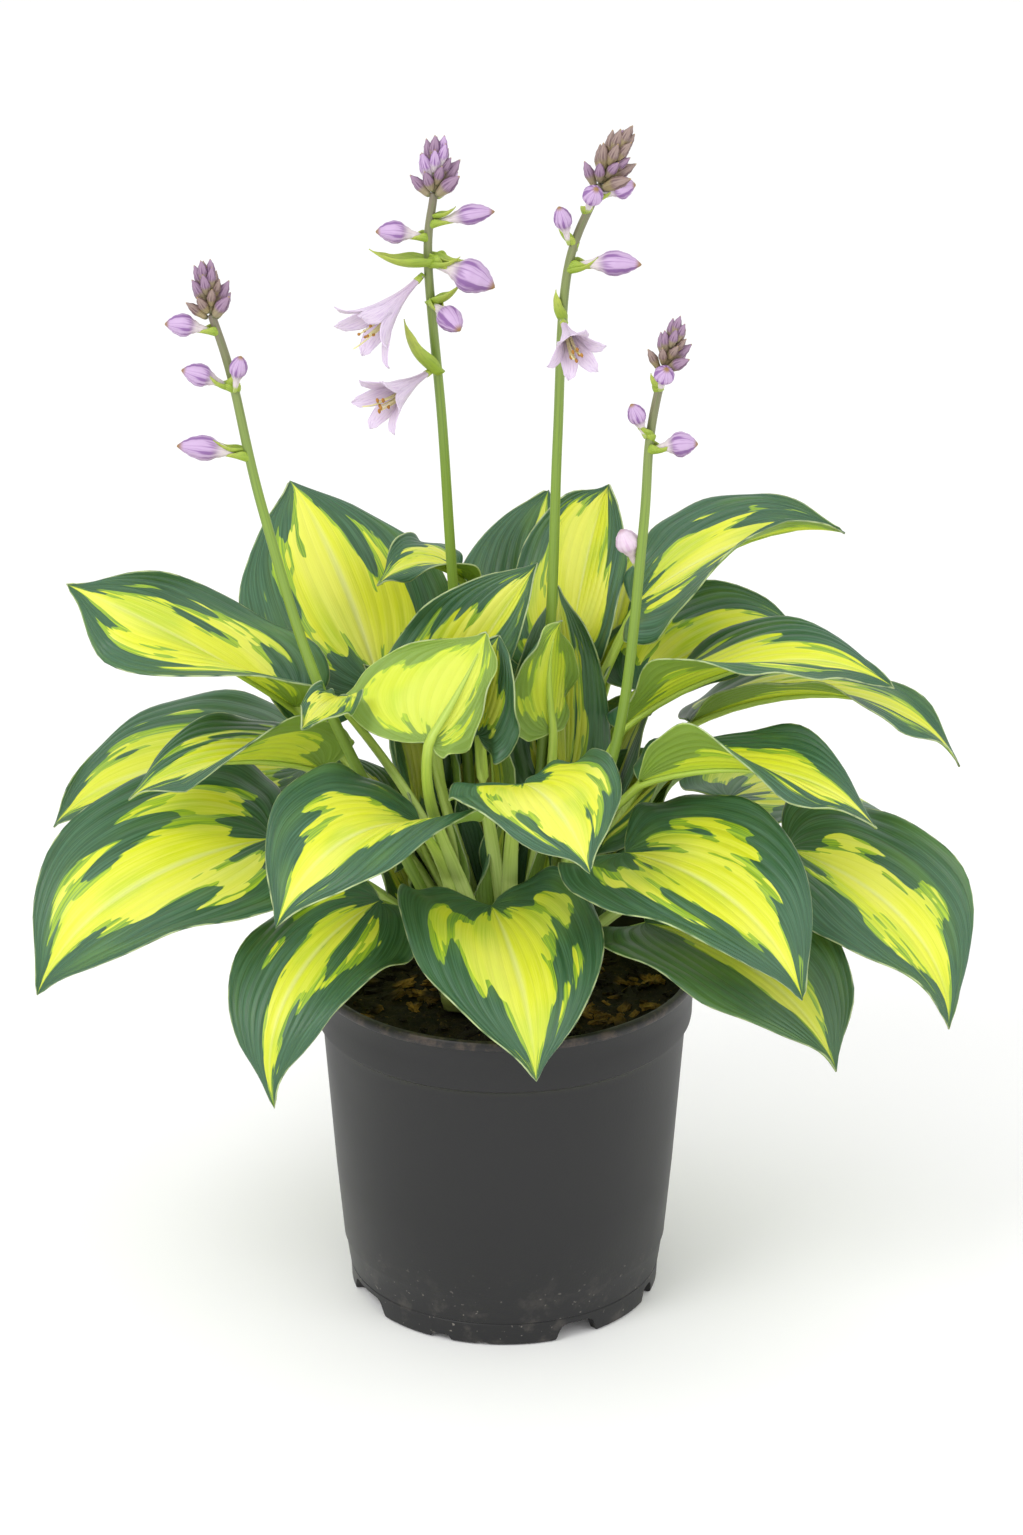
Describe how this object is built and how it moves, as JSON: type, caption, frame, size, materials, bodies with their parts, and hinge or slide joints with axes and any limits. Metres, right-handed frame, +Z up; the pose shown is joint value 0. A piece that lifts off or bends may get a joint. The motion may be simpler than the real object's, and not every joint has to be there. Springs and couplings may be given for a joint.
{
  "type": "potted hosta plant",
  "caption": "Variegated hosta with broad heart-shaped leaves, upright flower stems with lilac buds and open trumpet flowers, growing in a dark round plastic nursery pot.",
  "frame": {"origin": "the middle of the pot's foot, on the surface it stands on, which is under the middle of the whole plant's box", "axes": "+Z up along the pot's axis, -Y towards the viewer of the plant's best side, +X to that viewer's right"},
  "size_m": [0.4437, 0.2824, 0.595],
  "materials": {
    "pot_plastic": "matte dark grey, lightly scuffed",
    "potting_soil": null,
    "crown": null,
    "leaf": null,
    "flower_stem": null,
    "bud": null,
    "petal": null
  },
  "bodies": {
    "root": {"pot": "pot_plastic", "potting_soil": "potting_soil", "crown": "crown", "leaf_back_centre_left": "leaf", "leaf_back_centre_right": "leaf", "leaf_back_left_tall": "leaf", "leaf_back_low_centre": "leaf", "leaf_back_low_left": "leaf", "leaf_back_low_right": "leaf", "leaf_back_right_dark": "leaf", "leaf_back_side_right": "leaf", "leaf_centre_cup": "leaf", "leaf_centre_front_small": "leaf", "leaf_centre_inner": "leaf", "leaf_centre_left_cup": "leaf", "leaf_centre_small": "leaf", "leaf_centre_top": "leaf", "leaf_far_left_big": "leaf", "leaf_far_right_big": "leaf", "leaf_front_centre": "leaf", "leaf_front_low_left": "leaf", "leaf_inner_left_tip": "leaf", "leaf_left_low_back": "leaf", "leaf_left_mid": "leaf", "leaf_left_up_big": "leaf", "leaf_left_upper_mid": "leaf", "leaf_right_big_front": "leaf", "leaf_right_far": "leaf", "leaf_right_front_big": "leaf", "leaf_right_low": "leaf", "leaf_right_mid_lower": "leaf", "leaf_right_rear_big": "leaf", "leaf_right_up_big": "leaf", "leaf_right_upright": "leaf", "scape_centre_left": "flower_stem", "scape_centre_right": "flower_stem", "scape_left": "flower_stem", "scape_right": "flower_stem", "flower_centre": "petal", "flower_left": "petal", "flower_lower_left": "petal", "bud_centre_left_big": "bud", "bud_centre_left_front": "bud", "bud_centre_left_side": "bud", "bud_centre_left_upper": "bud", "bud_centre_right_front": "bud", "bud_centre_right_inner": "bud", "bud_centre_right_low": "bud", "bud_centre_right_side": "bud", "bud_cluster_centre_left": "bud", "bud_cluster_centre_right": "bud", "bud_cluster_left": "bud", "bud_cluster_right": "bud", "bud_left_lowest": "bud", "bud_left_second": "bud", "bud_left_third": "bud", "bud_left_upright": "bud", "bud_right_front": "bud", "bud_right_inner": "bud", "bud_right_low": "bud"}
  },
  "joints": []
}
